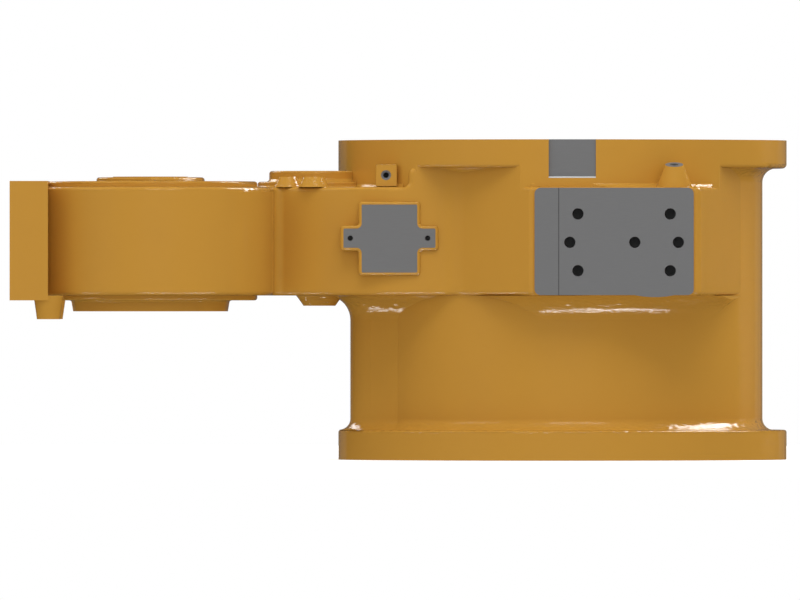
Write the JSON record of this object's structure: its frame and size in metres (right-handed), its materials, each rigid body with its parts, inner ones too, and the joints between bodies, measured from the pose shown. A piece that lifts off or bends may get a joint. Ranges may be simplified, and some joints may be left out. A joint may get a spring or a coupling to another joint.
{
  "type": "pump drive case",
  "caption": "Cast iron gear case with a two-flanged bell and a side arm that carries a pump off a main drive shaft.",
  "frame": {"origin": "centre of the lower flange face, on the main shaft axis", "axes": "+Z along the main shaft axis from the lower flange to the upper one, -X along the arm towards the pump end, -Y towards the side with the two machined pads"},
  "size_m": [0.9535, 0.5763, 0.393],
  "materials": {
    "case": "gloss enamel paint over a fine cast skin, with bare machined faces"
  },
  "bodies": {
    "root": {"drive_case": "case"}
  },
  "joints": []
}
